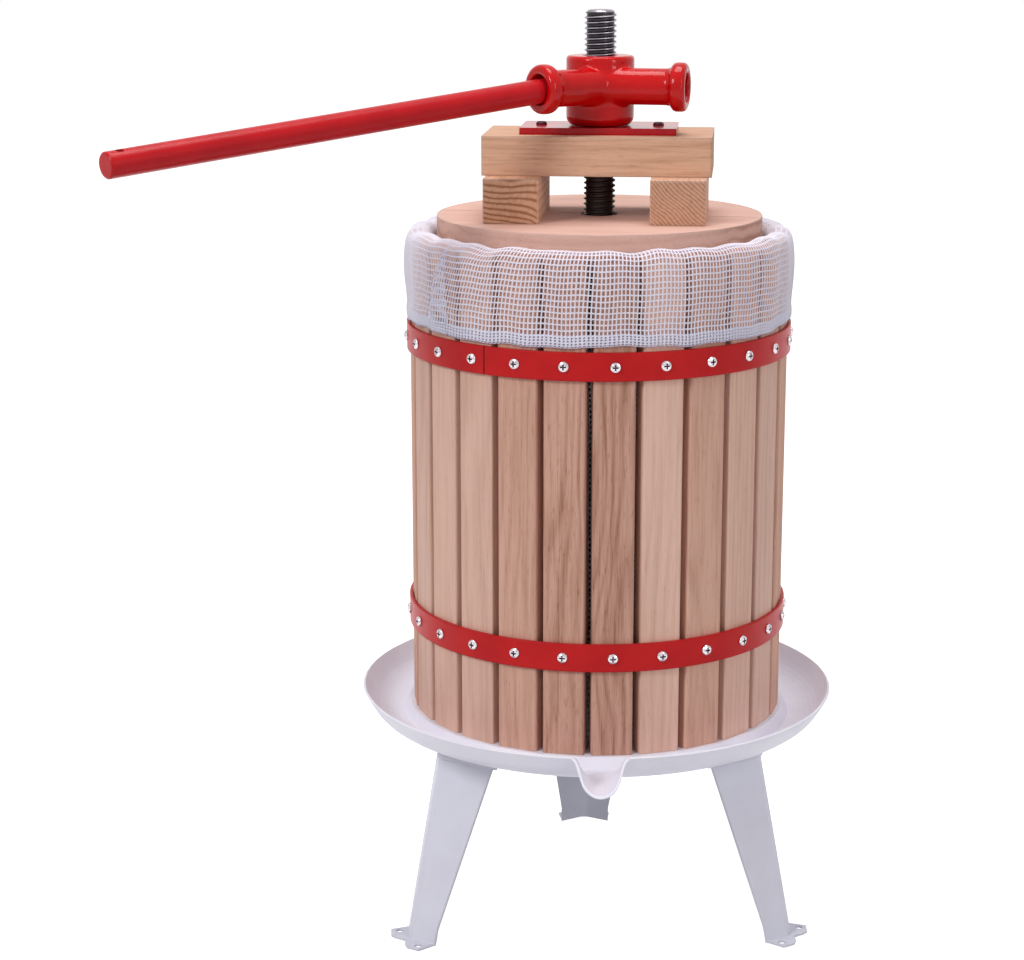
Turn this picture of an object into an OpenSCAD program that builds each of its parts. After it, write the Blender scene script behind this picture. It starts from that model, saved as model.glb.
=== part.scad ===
/* [Basket] */
// Distance from the centre to the flat outer faces of the staves
basket_r = 145; // [125:1:200]
// Thickness of a stave
stave_t = 16; // [12:1:24]
// Length of a stave
stave_h = 372; // [320:1:460]
// Number of staves round the basket
stave_count = 25; // [16:1:28]
// Clear gap between two staves at their inner faces
stave_gap = 1.6; // [0.8:0.1:4]
// Rounding of the long edges of a stave
stave_round = 1.8; // [0.5:0.1:3]
// Turn of the first stave from the front, in degrees
stave_turn = 4.8; // [0:0.1:14]

/* [Bands] */
// Height of a steel band
band_w = 21; // [14:0.5:30]
// Thickness of a band
band_t = 2.6; // [1.5:0.1:4]
// Height of the lower band's middle above the lower ends of the staves
band_low_h = 76.6; // [40:0.1:120]
// Depth of the upper band's middle below the upper ends of the staves
band_high_drop = 77; // [40:0.1:140]
// Width of the gap where a band's two ends meet
band_joint = 0.8; // [0.4:0.1:2]
// Turn of the upper band's joint from the front, in degrees
band_joint_turn = -34; // [-180:1:180]
// Diameter of a band screw's head
screw_head_d = 8; // [6:0.1:10]
// Height of a band screw's head
screw_head_h = 2.4; // [1.6:0.1:4]
// Diameter of a band screw's shank
screw_d = 3.6; // [2.5:0.1:4.5]
// Length of shank that a band screw has in the wood
screw_l = 11; // [6:0.5:13]

/* [Straining bag] */
// Thickness of the folded net
bag_t = 1.2; // [0.8:0.1:2]
// Clear gap between the cuff's hem and the upper band
hem_gap = 2.9; // [0.5:0.1:10]
// Height of the fold above the upper ends of the staves
fold_rise = 5; // [2:0.1:10]
// Distance by which the cuff bulges halfway down
cuff_bulge = 2.2; // [0:0.1:4]

/* [Tray] */
// Height of the tray's seat for the basket above the floor
seat_z = 173.4; // [150:0.1:220]
// Thickness of the tray's sheet
tray_t = 2; // [1.5:0.1:3]
// Width of the wall between the juice channel and the rim
wall_w = 26.5; // [18:0.5:60]
// Height of the rim above the seat
rim_rise = 13; // [8:0.1:24]
// Depth of the juice channel below the seat
channel_drop = 8.8; // [5:0.1:12]
// Width of the channel's flat floor
channel_w = 5; // [4:0.5:20]
// Width of the slope between the seat and the channel
slope_w = 4.5; // [3:0.5:8]
// Inner radius of the bend between the channel and the rim wall
wall_bend = 24; // [5:0.5:26]

/* [Spout] */
// Inner radius of the spout's floor
spout_r = 13.5; // [9:0.5:16]
// Radius of the flare at the spout's upper edges
spout_flare = 8; // [6:0.5:10]
// Angle between the spout's sides and the upright, in degrees
spout_side = 20; // [10:1:30]
// Reach of the spout's tip past the rim
spout_reach = 20.5; // [12:0.5:40]
// Drop of the spout's floor below the channel's floor
spout_drop = 1; // [0.5:0.1:1.5]
// Turn of the spout from the front, in degrees
spout_turn = 1.2; // [-10:0.1:10]

/* [Legs] */
// Distance of a leg's ridge inside the edge of the seat
leg_in = 11; // [6:0.5:30]
// Lean of a leg's ridge towards the centre, in degrees
leg_lean = 11.5; // [4:0.1:12]
// Thickness of the leg sheet
leg_t = 1.6; // [1.2:0.1:3]
// Half width of the flat ridge down the middle of a leg
ridge_half = 3; // [2:0.1:6]
// Angle by which each flank folds back, in degrees
flank_turn = 29; // [20:1:35]
// Half width of a leg at the foot
leg_half_low = 20.5; // [16:0.5:24]
// Half width of a leg at the top
leg_half_high = 44; // [40:0.5:54]
// Height at which a leg starts to widen
leg_kink_h = 15.5; // [10:0.5:30]
// Height of the bracket that holds a leg below the tray
bracket_h = 26; // [22:0.1:30]
// Turn of the legs from the spout's side, in degrees
leg_turn = 3.2; // [-10:0.1:10]

/* [Feet] */
// Distance from a leg's middle to each of its two foot holes
foot_hole_side = 16.1; // [14:0.1:18]
// Distance of a foot's left hole outside the foot of the ridge, as seen from outside
foot_hole_out = 0.2; // [0:0.1:2]
// Distance by which a foot's right hole lies further out than the left one
foot_hole_stagger = 1.2; // [0:0.1:2]
// Diameter of a foot hole
foot_hole_d = 5.6; // [4:0.1:7]
// Reach of the foot's ears past the ridge
ear_reach = 9.7; // [8:0.1:16]

/* [Leg bolts] */
// Diameter of a leg bolt
bolt_d = 6; // [5:0.5:8]
// Width across the flats of a leg bolt's head and nut
bolt_flats = 10; // [8:0.5:13]
// Height of a leg bolt's head
bolt_head_h = 4; // [3:0.5:6]
// Height of a leg nut
bolt_nut_h = 5; // [4:0.5:7]
// Distance of a leg bolt from the ridge, along the flank
bolt_place = 22; // [16:1:30]

/* [Spindle] */
// Outer diameter of the spindle's thread
thread_d = 24.2; // [20:0.1:30]
// Depth of the thread
thread_depth = 1.7; // [1:0.1:2.4]
// Pitch of the thread
thread_pitch = 4; // [3:0.5:6]
// Length of the threaded stretch, from the top end down
thread_l = 192; // [120:4:240]
// Length of the spindle above the head
spindle_over = 33; // [10:0.5:80]
// Width across the flats of the spindle's two nuts
spindle_nut_flats = 36; // [32:1:46]
// Height of a spindle nut
spindle_nut_h = 19; // [12:1:24]
// Outer diameter of a spindle washer
spindle_washer_d = 44; // [42:1:56]
// Thickness of a spindle washer
spindle_washer_t = 3; // [2:0.5:5]

/* [Pressing board] */
// Clear gap between the pressing board and the bag
board_gap = 2.9; // [1:0.1:12]
// Thickness of the pressing board
board_t = 28; // [18:1:40]
// Depth of the board's underside below the upper ends of the staves
board_in = 13.4; // [4:0.1:60]
// Gap between the two halves of the board
board_split = 1; // [0.5:0.1:3]
// Turn of the board's split, in degrees
board_turn = -9; // [-90:1:90]

/* [Blocks and beam] */
// Turn of the blocks, the beam and the plate, in degrees
stack_turn = -3.5; // [-20:0.1:20]
// Width of a block
block_w = 41.5; // [30:0.5:50]
// Height of a block
block_h = 33; // [20:1:50]
// Length of a block
block_l = 107; // [88:1:130]
// Distance from the middle to each block's middle
block_place = 62; // [50:0.5:66]
// Distance that the blocks stand forward of the middle
block_fore = 14; // [-20:1:20]
// Length of the beam
beam_l = 172.5; // [160:0.5:200]
// Width of the beam
beam_w = 88; // [70:1:100]
// Height of the beam
beam_h = 29.5; // [20:0.5:50]
// Rounding of the wooden pieces' upright edges
wood_round = 2; // [1:0.5:4]

/* [Thrust plate] */
// Length of the plate
plate_l = 118; // [100:1:140]
// Width of the plate
plate_w = 60; // [54:1:70]
// Thickness of the plate
plate_t = 5.2; // [3:0.1:8]
// Distance from the middle to each plate screw
plate_screw_place = 44.5; // [36:0.5:50]
// Diameter of a plate screw's head
plate_screw_d = 8.4; // [7:0.1:11]

/* [Press head] */
// Outer diameter of the hub
hub_d = 51.6; // [46:0.1:60]
// Height of the hub
hub_h = 52; // [42:0.1:70]
// Height of the sockets' axis above the hub's underside
socket_h = 30; // [23:0.5:32]
// Outer diameter of a socket's tube
socket_d = 27.4; // [25:0.1:32]
// Bore of a socket
socket_bore = 22; // [20:0.1:24]
// Depth of a socket's bore
socket_depth = 44; // [40:0.5:46]
// Length of a socket from the point nearest to the spindle to its mouth
socket_l = 69.5; // [64:0.5:80]
// Distance by which the sockets' axes pass in front of the spindle's axis
socket_fore = 14; // [10:0.5:16]
// Outer diameter of a socket's collar
collar_d = 36.7; // [33:0.1:42]
// Width of a collar
collar_w = 12; // [8:0.5:16]
// Forward turn of the left socket, in degrees
left_turn = 38; // [20:0.5:50]
// Forward turn of the right socket, in degrees
right_turn = 11.5; // [0:0.5:30]

/* [Handle] */
// Diameter of the handle rod
rod_d = 18.2; // [16:0.1:19]
// Length of the handle rod
rod_l = 395; // [300:1:500]
// Length of the rod inside its socket
rod_in = 33; // [30:0.5:42]
// Direction in which the rod tips in its loose socket, from straight down, in degrees
rod_tip_turn = 27; // [0:1:45]
// Diameter of the cross hole near the rod's outer end
rod_hole_d = 5.6; // [3:0.1:6]
// Turn of the cross hole about the rod, from upright toward the front, in degrees
rod_hole_turn = 12; // [-30:1:30]
// Distance of the cross hole from the rod's outer end
rod_hole_in = 10.5; // [8:0.5:16]

/* [Hidden] */
$fn = 96;
overrun = 1;
small_fn = 32;

// clearances
seat_gap = 0.1;
stand_gap = 0.05;
bag_gap = 0.4;
pilot_gap = 0.05;
band_hole_gap = 0.3;
bolt_gap = 0.25;
thread_gap = 0.3;
wood_gap = 2;
leg_top_gap = 1;
bag_hole_gap = 2;
seat_margin = 3;
head_seat_gap = 0.3;

// basket
stave_step = 360 / stave_count;
stave_in_r = basket_r - stave_t;
stave_mid_r = basket_r - stave_t / 2;
stave_w = 2 * stave_in_r * tan(stave_step / 2) - stave_gap;
stave_corner_r = norm([basket_r - stave_round, stave_w / 2 - stave_round]) + stave_round;
stave_top_z = seat_z + stave_h;
band_high_h = stave_h - band_high_drop;
band_in_r = stave_corner_r + seat_gap;
band_out_r = band_in_r + band_t;
low_joint_turn = 180 + stave_turn;

// cross recess of a band screw
cross_w = 1.1;
cross_l = 4.4;
cross_depth = 1.3;
// pan head outline, as shares of the head's radius and height
pan_shares = [[0, 0], [1, 0], [1, 0.36], [0.88, 0.7], [0.6, 0.93], [0.25, 1], [0, 1]];

// straining bag
cuff_in_r = stave_corner_r + bag_gap;
bag_wall_r = stave_in_r - bag_gap;
fold_z = stave_top_z + fold_rise;
hem_z = seat_z + band_high_h + band_w / 2 + hem_gap;
hem_h = 10;
hem_extra = 0.8;
bulge_share = 0.5;
fold_shoulder_share = 0.6;
bag_hole_r = spindle_washer_d / 2 + bag_hole_gap;

// tray
seat_r = stave_corner_r + seat_margin;
channel_z = seat_z - channel_drop;
rim_z = seat_z + rim_rise;
bend_r = seat_r + slope_w + channel_w;
rim_r = bend_r + wall_w;
wall_bend_r = min(wall_bend, wall_w);
slope_turn = atan(channel_drop / slope_w);
bend_c = [bend_r, channel_z + wall_bend_r];
rim_p = [rim_r, rim_z];
wall_turn = tangent_turn(rim_p - bend_c, wall_bend_r);
bend_steps = 6;
tray_hole_r = thread_d / 2 + thread_gap;

// spout
spout_c = [0, channel_z - spout_drop + spout_r];
spout_end_turn = 20;
spout_steps = 6;
spout_out = [cos(spout_side), -sin(spout_side)];
spout_side_h = rim_z - spout_c[1] + spout_r * sin(spout_side) - spout_flare * (cos(spout_end_turn) - sin(spout_side));
spout_side_p = spout_c + spout_r * spout_out + spout_side_h / cos(spout_side) * [sin(spout_side), cos(spout_side)];
spout_flare_c = spout_side_p + spout_flare * spout_out;
spout_tip_r = rim_r + spout_reach;
spout_tip_z = channel_z - spout_drop - tray_t;
spout_slant = atan((rim_z - spout_tip_z) / spout_reach);
spout_room = rim_r;

// legs
leg_azimuths = [-60, 60, 180];
under_z = seat_z - tray_t;
leg_top_z = under_z - leg_top_gap;
leg_len = under_z / cos(leg_lean);
foot_r = seat_r - leg_in + under_z * tan(leg_lean);
leg_room = 2 * leg_half_high;
bracket_lap = 1;
bracket_half = leg_half_high + bracket_lap;
bolt_z = (under_z - bracket_h / 2 + bolt_flats / 4) / cos(leg_lean);
// foot outline: half widths and how far out each point lies, from the ridge
ear_root_half = 20;
ear_side_half = 22.5;
ear_side_share = 0.48;
ear_tip_half = 13;
ear_inner_half = 8;
ear_notch_share = 0.46;
ear_inner_share = 0.9;

// spindle
spindle_low_z = under_z - spindle_washer_t - spindle_nut_h - thread_pitch;
thread_count = floor(thread_l / thread_pitch);
root_r = thread_d / 2 - thread_depth;
// one pitch of the thread's outline, as shares of the pitch and of the thread's depth
thread_shares = [[0.08, 1], [0.34, 1], [0.58, 0], [0.84, 0]];
spindle_chamfer = 1.5;

// press stack
board_r = bag_wall_r - bag_t - board_gap;
board_z = stave_top_z - board_in;
block_z = board_z + board_t;
beam_z = block_z + block_h;
plate_z = beam_z + beam_h;
head_z = plate_z + plate_t + head_seat_gap;
spindle_top_z = head_z + hub_h + spindle_over;
wood_bore_r = thread_d / 2 + wood_gap;
plate_screw_shank_d = 4.6;
plate_screw_head_h = 2.6;
plate_screw_l = 22;

// press head
hub_low_chamfer = 4.4;
hub_low_in = 3.2;
hub_top_chamfer = 1.6;
collar_round = 3.6;
neck_rise = 2.4;
socket_back = socket_fore * tan((left_turn + right_turn) / 2);
mouth_chamfer = 0.8;

// handle
rod_chamfer = 1;
rod_gap = 0.35;
rod_tilt = atan((socket_bore - rod_d - 2 * rod_gap) / rod_in);
rod_droop = rod_tilt * cos(rod_tip_turn);
rod_swing = rod_tilt * sin(rod_tip_turn);

// Turn of the straight line that leaves an arc of radius r smoothly and ends at d from its centre
function tangent_turn(d, r) = atan2(d[1], d[0]) + asin(r / norm(d));
function arc(c, r, a0, a1, n) = [for (k = [0:n]) let (a = a0 + (a1 - a0) * k / n) c + r * [cos(a), sin(a)]];
function reversed(p) = [for (k = [len(p) - 1:-1:0]) p[k]];
// Distance of a foot hole from the centre as measured along the leg, s = -1 for the left one and 1 for the right one
function foot_hole_reach(s) = foot_r + foot_hole_out + (s > 0 ? foot_hole_stagger : 0);
function stave_name(i) = str("stave_", i < 9 ? "0" : "", i + 1);

// The tray's section, measured at depth d below its upper surface
function tray_line(d) = concat(
    [[tray_hole_r, seat_z - d],
     [seat_r - d * tan(slope_turn / 2), seat_z - d],
     [seat_r + slope_w - d * tan(slope_turn / 2), channel_z - d]],
    arc(bend_c, wall_bend_r + d, -90, wall_turn - 90, bend_steps),
    [rim_p + d * [sin(wall_turn), -cos(wall_turn)]]);

// The spout's section, measured at depth d below its upper surface
function spout_half(d) = concat(
    arc(spout_c, spout_r + d, -90, -spout_side, spout_steps),
    arc(spout_flare_c, spout_flare - d, 180 - spout_side, 90 + spout_end_turn, spout_steps));
function spout_line(d) = concat(
    reversed([for (p = spout_half(d)) [-p[0], p[1]]]),
    [for (k = [1:len(spout_half(d)) - 1]) spout_half(d)[k]]);
spout_end_x = spout_flare_c[0] - spout_flare * sin(spout_end_turn);

// A leg's section across the ridge, d out from its outer face
function flank_x(half, d) = half + d * sin(flank_turn);
function flank_y(half, d) = (half - ridge_half) * tan(flank_turn) - d * cos(flank_turn);
function leg_line(half, d) = [
    [-flank_x(half, d), flank_y(half, d)],
    [-ridge_half - d * tan(flank_turn / 2), -d],
    [ridge_half + d * tan(flank_turn / 2), -d],
    [flank_x(half, d), flank_y(half, d)]];

module round_rect(w, d, r) {
    square([w - 2 * r, d], center = true);
    square([w, d - 2 * r], center = true);
    for (x = [-1, 1], y = [-1, 1])
        translate([x * (w / 2 - r), y * (d / 2 - r)])
            circle(r = r, $fn = small_fn);
}

module hex(flats, h) {
    cylinder(r = flats / 2 / cos(30), h = h, $fn = 6);
}

module pan_head(d, h) {
    rotate_extrude($fn = small_fn)
        polygon([for (p = pan_shares) [p[0] * d / 2, p[1] * h]]);
}

// The upper face and below of the sheet metal dish, with its spout
module tray() {
    color("whitesmoke")
        union() {
            difference() {
                rotate_extrude()
                    polygon(concat(tray_line(0), reversed(tray_line(tray_t))));
                rotate([0, 0, spout_turn])
                    translate([0, -bend_r, 0])
                        rotate([90, 0, 0])
                            linear_extrude(spout_room)
                                polygon(concat(spout_line(0), [[spout_end_x, rim_z + spout_room],
                                                               [-spout_end_x, rim_z + spout_room]]));
            }
            rotate([0, 0, spout_turn])
                difference() {
                    translate([0, -bend_r, 0])
                        rotate([90, 0, 0])
                            linear_extrude(spout_tip_r - bend_r)
                                polygon(concat(spout_line(0), reversed(spout_line(tray_t))));
                    rotate_extrude()
                        polygon(concat([[0, seat_z - tray_t / 2]], tray_line(tray_t / 2),
                                       [[rim_r, rim_z + spout_room], [0, rim_z + spout_room]]));
                    translate([0, -rim_r, rim_z])
                        rotate([spout_slant, 0, 0])
                            translate([-spout_room, -spout_room, 0])
                                cube([2 * spout_room, 2 * spout_room, spout_room]);
                }
        }
}

module leg_place(a) {
    rotate([0, 0, leg_turn + a])
        translate([0, -foot_r, 0])
            rotate([-leg_lean, 0, 0])
                children();
}

// Stands on a flank's outer face at a bolt's place, with +Z pointing out of it
module bolt_places() {
    for (s = [-1, 1])
        translate([s * (ridge_half + bolt_place * cos(flank_turn)), bolt_place * sin(flank_turn), bolt_z])
            rotate([0, 0, s * flank_turn])
                rotate([90, 0, 0])
                    children();
}

module bolt_holes() {
    bolt_places()
        translate([0, 0, -leg_t - overrun])
            cylinder(r = bolt_d / 2 + bolt_gap, h = 2 * leg_t + 2 * overrun, $fn = small_fn);
}

// Keeps what lies between two heights, in the frame of a leg at the front
module between(low, high) {
    translate([-leg_room, -foot_r - leg_room, low])
        cube([2 * leg_room, foot_r + leg_room, high - low]);
}

module foot_plate() {
    fold_in = leg_t / 2;
    low = leg_half_low;
    half = [
        [0, -foot_r - ear_reach * ear_notch_share],
        [ear_inner_half, -foot_r - ear_reach * ear_inner_share],
        [ear_tip_half, -foot_r - ear_reach],
        [ear_side_half, -foot_r - ear_reach * ear_side_share],
        [ear_root_half, -foot_r + flank_y(low, 0)],
        [flank_x(low, -fold_in), -foot_r + flank_y(low, -fold_in)],
        [ridge_half, -foot_r + fold_in]];
    linear_extrude(leg_t)
        polygon(concat(half, reversed([for (k = [1:len(half) - 1]) [-half[k][0], half[k][1]]])));
}

module leg(a) {
    color("gainsboro")
        difference() {
            union() {
                rotate([0, 0, leg_turn + a])
                    intersection() {
                        translate([0, -foot_r, 0])
                            rotate([-leg_lean, 0, 0])
                                intersection() {
                                    translate([0, 0, -leg_room])
                                        linear_extrude(leg_len + 2 * leg_room)
                                            polygon(concat(
                                                leg_line(leg_room, 0),
                                                reversed(leg_line(leg_room, -leg_t))));
                                    translate([0, 2 * leg_room, 0])
                                        rotate([90, 0, 0])
                                            linear_extrude(4 * leg_room)
                                                polygon([[-leg_half_low, -leg_room], [leg_half_low, -leg_room],
                                                         [leg_half_low, leg_kink_h], [leg_half_high, leg_len],
                                                         [-leg_half_high, leg_len], [-leg_half_low, leg_kink_h]]);
                                }
                        between(0, leg_top_z);
                    }
                rotate([0, 0, leg_turn + a])
                    foot_plate();
            }
            leg_place(a)
                bolt_holes();
            for (s = [-1, 1])
                rotate([0, 0, leg_turn + a])
                    translate([s * foot_hole_side, -foot_hole_reach(s), -overrun])
                        cylinder(r = foot_hole_d / 2, h = leg_t + 2 * overrun, $fn = small_fn);
        }
}

module leg_brackets() {
    color("white")
        for (a = leg_azimuths)
            difference() {
                rotate([0, 0, leg_turn + a])
                    intersection() {
                        translate([0, -foot_r, 0])
                            rotate([-leg_lean, 0, 0])
                                linear_extrude(leg_len + leg_room)
                                    polygon(concat(
                                        leg_line(bracket_half, leg_t),
                                        reversed(leg_line(bracket_half, 0))));
                        between(under_z - bracket_h, under_z);
                    }
                leg_place(a)
                    bolt_holes();
            }
}

module leg_bolts() {
    color("silver")
        for (a = leg_azimuths)
            leg_place(a)
                bolt_places() {
                    translate([0, 0, leg_t])
                        hex(bolt_flats, bolt_head_h);
                    translate([0, 0, -leg_t - bolt_nut_h - overrun])
                        cylinder(r = bolt_d / 2, h = 2 * leg_t + bolt_nut_h + overrun, $fn = small_fn);
                }
}

module leg_nuts() {
    color("silver")
        for (a = leg_azimuths)
            leg_place(a)
                bolt_places()
                    translate([0, 0, -leg_t - bolt_nut_h])
                        difference() {
                            hex(bolt_flats, bolt_nut_h);
                            translate([0, 0, -overrun])
                                cylinder(r = bolt_d / 2 + pilot_gap, h = bolt_nut_h + 2 * overrun, $fn = small_fn);
                        }
}

// The thread is drawn as rings of its section, one for each pitch
module spindle() {
    r = thread_d / 2;
    plain_z = spindle_top_z - thread_count * thread_pitch;
    color("dimgray")
        rotate_extrude()
            polygon(concat(
                [[0, spindle_low_z], [r - spindle_chamfer, spindle_low_z], [r, spindle_low_z + spindle_chamfer]],
                [for (k = [0:thread_count - 1], s = thread_shares)
                    [s[1] > 0 ? r : root_r, plain_z + (k + s[0]) * thread_pitch]],
                [[root_r, spindle_top_z], [0, spindle_top_z]]));
}

module spindle_washers() {
    color("silver")
        for (z = [seat_z, under_z - spindle_washer_t])
            translate([0, 0, z])
                difference() {
                    cylinder(r = spindle_washer_d / 2, h = spindle_washer_t);
                    translate([0, 0, -overrun])
                        cylinder(r = tray_hole_r, h = spindle_washer_t + 2 * overrun);
                }
}

module spindle_nuts() {
    color("silver")
        for (z = [seat_z + spindle_washer_t, under_z - spindle_washer_t - spindle_nut_h])
            translate([0, 0, z])
                difference() {
                    hex(spindle_nut_flats, spindle_nut_h);
                    translate([0, 0, -overrun])
                        cylinder(r = thread_d / 2 + pilot_gap, h = spindle_nut_h + 2 * overrun);
                }
}

module stave(i) {
    color(i % 3 == 0 ? "tan" : i % 3 == 1 ? "burlywood" : "rosybrown")
        rotate([0, 0, stave_turn + i * stave_step])
            translate([0, -stave_mid_r, seat_z])
                difference() {
                    translate([0, 0, stand_gap])
                        linear_extrude(stave_h - stand_gap)
                            round_rect(stave_w, stave_t, stave_round);
                    for (h = [band_low_h, band_high_h])
                        translate([0, -stave_t / 2 + screw_l + pilot_gap, h])
                            rotate([90, 0, 0])
                                cylinder(r = screw_d / 2 + pilot_gap, h = screw_l + overrun, $fn = small_fn);
                }
}

module band(h, joint_turn) {
    color("red")
        translate([0, 0, seat_z + h - band_w / 2])
            difference() {
                cylinder(r = band_out_r, h = band_w);
                translate([0, 0, -overrun])
                    cylinder(r = band_in_r, h = band_w + 2 * overrun);
                for (i = [0:stave_count - 1])
                    rotate([0, 0, stave_turn + i * stave_step])
                        translate([0, -basket_r + overrun, band_w / 2])
                            rotate([90, 0, 0])
                                cylinder(r = screw_d / 2 + band_hole_gap, h = screw_head_d, $fn = small_fn);
                rotate([0, 0, joint_turn])
                    translate([-band_joint / 2, -band_out_r - overrun, -overrun])
                        cube([band_joint, 2 * band_t + 2 * overrun, band_w + 2 * overrun]);
            }
}

module band_screws(h) {
    color("gainsboro")
        for (i = [0:stave_count - 1])
            rotate([0, 0, stave_turn + i * stave_step])
                translate([0, -band_out_r, seat_z + h])
                    rotate([90, 0, 0])
                        difference() {
                            union() {
                                pan_head(screw_head_d, screw_head_h);
                                translate([0, 0, basket_r - band_out_r - screw_l])
                                    cylinder(r = screw_d / 2, h = band_out_r - basket_r + screw_l + screw_head_h / 2,
                                             $fn = small_fn);
                            }
                            for (t = [0, 90])
                                rotate([0, 0, t])
                                    translate([-cross_l / 2, -cross_w / 2, screw_head_h - cross_depth])
                                        cube([cross_l, cross_w, cross_depth + overrun]);
                        }
}

// The net bag lines the basket and is folded over its upper edge
module straining_bag() {
    cuff_out_r = cuff_in_r + bag_t;
    lining_r = bag_wall_r - bag_t;
    floor_z = seat_z + bag_gap;
    shoulder = fold_rise * fold_shoulder_share;
    bulge_z = hem_z + (fold_z - hem_z) * bulge_share;
    color("lavender")
        rotate_extrude()
            polygon([
                [bag_hole_r, floor_z], [bag_wall_r, floor_z], [bag_wall_r, stave_top_z + bag_gap],
                [cuff_in_r, stave_top_z + bag_gap], [cuff_in_r + cuff_bulge, bulge_z],
                [cuff_in_r, hem_z + hem_h], [cuff_in_r, hem_z], [cuff_out_r + hem_extra, hem_z],
                [cuff_out_r + hem_extra, hem_z + hem_h], [cuff_out_r + cuff_bulge, bulge_z],
                [cuff_out_r, fold_z - shoulder], [cuff_out_r - shoulder / 2, fold_z - shoulder / 3],
                [cuff_out_r - shoulder, fold_z], [lining_r + shoulder, fold_z],
                [lining_r + shoulder / 2, fold_z - shoulder / 3], [lining_r, fold_z - shoulder],
                [lining_r, floor_z + bag_t], [bag_hole_r, floor_z + bag_t]]);
}

// One half of the pressing board, s = -1 for the front one and 1 for the rear one
module board_half(s) {
    color("rosybrown")
        rotate([0, 0, board_turn])
            translate([0, 0, board_z])
                difference() {
                    cylinder(r = board_r, h = board_t);
                    translate([0, 0, -overrun])
                        cylinder(r = wood_bore_r, h = board_t + 2 * overrun);
                    translate([-2 * board_r, -s * (board_r - board_split / 2) - board_r, -overrun])
                        cube([4 * board_r, 2 * board_r, board_t + 2 * overrun]);
                }
}

module block(s) {
    color("burlywood")
        rotate([0, 0, stack_turn])
            translate([s * block_place, -block_fore, block_z])
                linear_extrude(block_h)
                    round_rect(block_w, block_l, wood_round);
}

module cross_beam() {
    color("burlywood")
        rotate([0, 0, stack_turn])
            translate([0, 0, beam_z])
                difference() {
                    linear_extrude(beam_h)
                        round_rect(beam_l, beam_w, wood_round);
                    translate([0, 0, -overrun])
                        cylinder(r = wood_bore_r, h = beam_h + 2 * overrun);
                    for (s = [-1, 1])
                        translate([s * plate_screw_place, 0, beam_h + plate_t - plate_screw_l])
                            cylinder(r = plate_screw_shank_d / 2 + pilot_gap, h = plate_screw_l, $fn = small_fn);
                }
}

module thrust_plate() {
    color("crimson")
        rotate([0, 0, stack_turn])
            translate([0, 0, plate_z])
                difference() {
                    linear_extrude(plate_t)
                        round_rect(plate_l, plate_w, wood_round);
                    translate([0, 0, -overrun])
                        cylinder(r = thread_d / 2 + wood_gap / 2, h = plate_t + 2 * overrun);
                    for (s = [-1, 1])
                        translate([s * plate_screw_place, 0, -overrun])
                            cylinder(r = plate_screw_shank_d / 2 + bolt_gap, h = plate_t + 2 * overrun,
                                     $fn = small_fn);
                }
}

module plate_screws() {
    color("dimgray")
        rotate([0, 0, stack_turn])
            for (s = [-1, 1])
                translate([s * plate_screw_place, 0, plate_z + plate_t]) {
                    pan_head(plate_screw_d, plate_screw_head_h);
                    translate([0, 0, pilot_gap - plate_screw_l])
                        cylinder(r = plate_screw_shank_d / 2, h = plate_screw_l - pilot_gap, $fn = small_fn);
                }
}

// Stands on a socket's axis, with +X out of its mouth and the origin nearest to the spindle
module socket_place(s) {
    translate([0, 0, head_z + socket_h])
        rotate([0, 0, s < 0 ? 180 + left_turn : -right_turn])
            translate([0, -s * socket_fore, 0])
                children();
}

module socket_outside() {
    rotate([0, 90, 0]) {
        translate([0, 0, -socket_back])
            cylinder(r = socket_d / 2, h = socket_l + socket_back - collar_w / 2);
        translate([0, 0, socket_l - collar_w])
            rotate_extrude()
                polygon(concat(
                    [[0, -neck_rise], [socket_d / 2, -neck_rise], [socket_d / 2 + neck_rise / 3, -neck_rise / 3]],
                    arc([collar_d / 2 - collar_round, collar_round], collar_round, -90, 0, 5),
                    arc([collar_d / 2 - collar_round, collar_w - collar_round], collar_round, 0, 90, 5),
                    [[0, collar_w]]));
    }
}

module socket_inside() {
    rotate([0, 90, 0]) {
        translate([0, 0, socket_l - socket_depth])
            cylinder(r = socket_bore / 2, h = socket_depth + overrun);
        translate([0, 0, socket_l - mouth_chamfer])
            cylinder(r1 = socket_bore / 2, r2 = socket_bore / 2 + 2 * mouth_chamfer, h = 2 * mouth_chamfer);
    }
}

// The cast head is the nut that runs on the spindle
module press_head() {
    color("firebrick")
        difference() {
            union() {
                translate([0, 0, head_z])
                    rotate_extrude()
                        polygon([
                            [0, 0], [hub_d / 2 - hub_low_in, 0], [hub_d / 2, hub_low_chamfer],
                            [hub_d / 2, hub_h - hub_top_chamfer], [hub_d / 2 - hub_top_chamfer, hub_h], [0, hub_h]]);
                for (s = [-1, 1])
                    socket_place(s)
                        socket_outside();
            }
            for (s = [-1, 1])
                socket_place(s)
                    socket_inside();
            translate([0, 0, head_z - overrun])
                cylinder(r = thread_d / 2 + thread_gap, h = hub_h + 2 * overrun);
        }
}

// The rod lies loose in the left socket, tipped about the middle of the length inside it
module handle_rod() {
    color("firebrick")
        socket_place(-1)
            translate([socket_l - rod_in / 2, 0, 0])
                rotate([0, 0, rod_swing])
                    rotate([0, rod_droop, 0])
                        translate([-rod_in / 2, 0, 0])
                            difference() {
                                rotate([0, 90, 0])
                                    rotate_extrude()
                                        polygon([
                                            [0, 0], [rod_d / 2 - rod_chamfer, 0], [rod_d / 2, rod_chamfer],
                                            [rod_d / 2, rod_l - rod_chamfer], [rod_d / 2 - rod_chamfer, rod_l],
                                            [0, rod_l]]);
                                rotate([-rod_hole_turn, 0, 0])
                                    translate([rod_l - rod_hole_in, 0, -rod_d])
                                        cylinder(r = rod_hole_d / 2, h = 2 * rod_d, $fn = small_fn);
                            }
}

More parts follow.
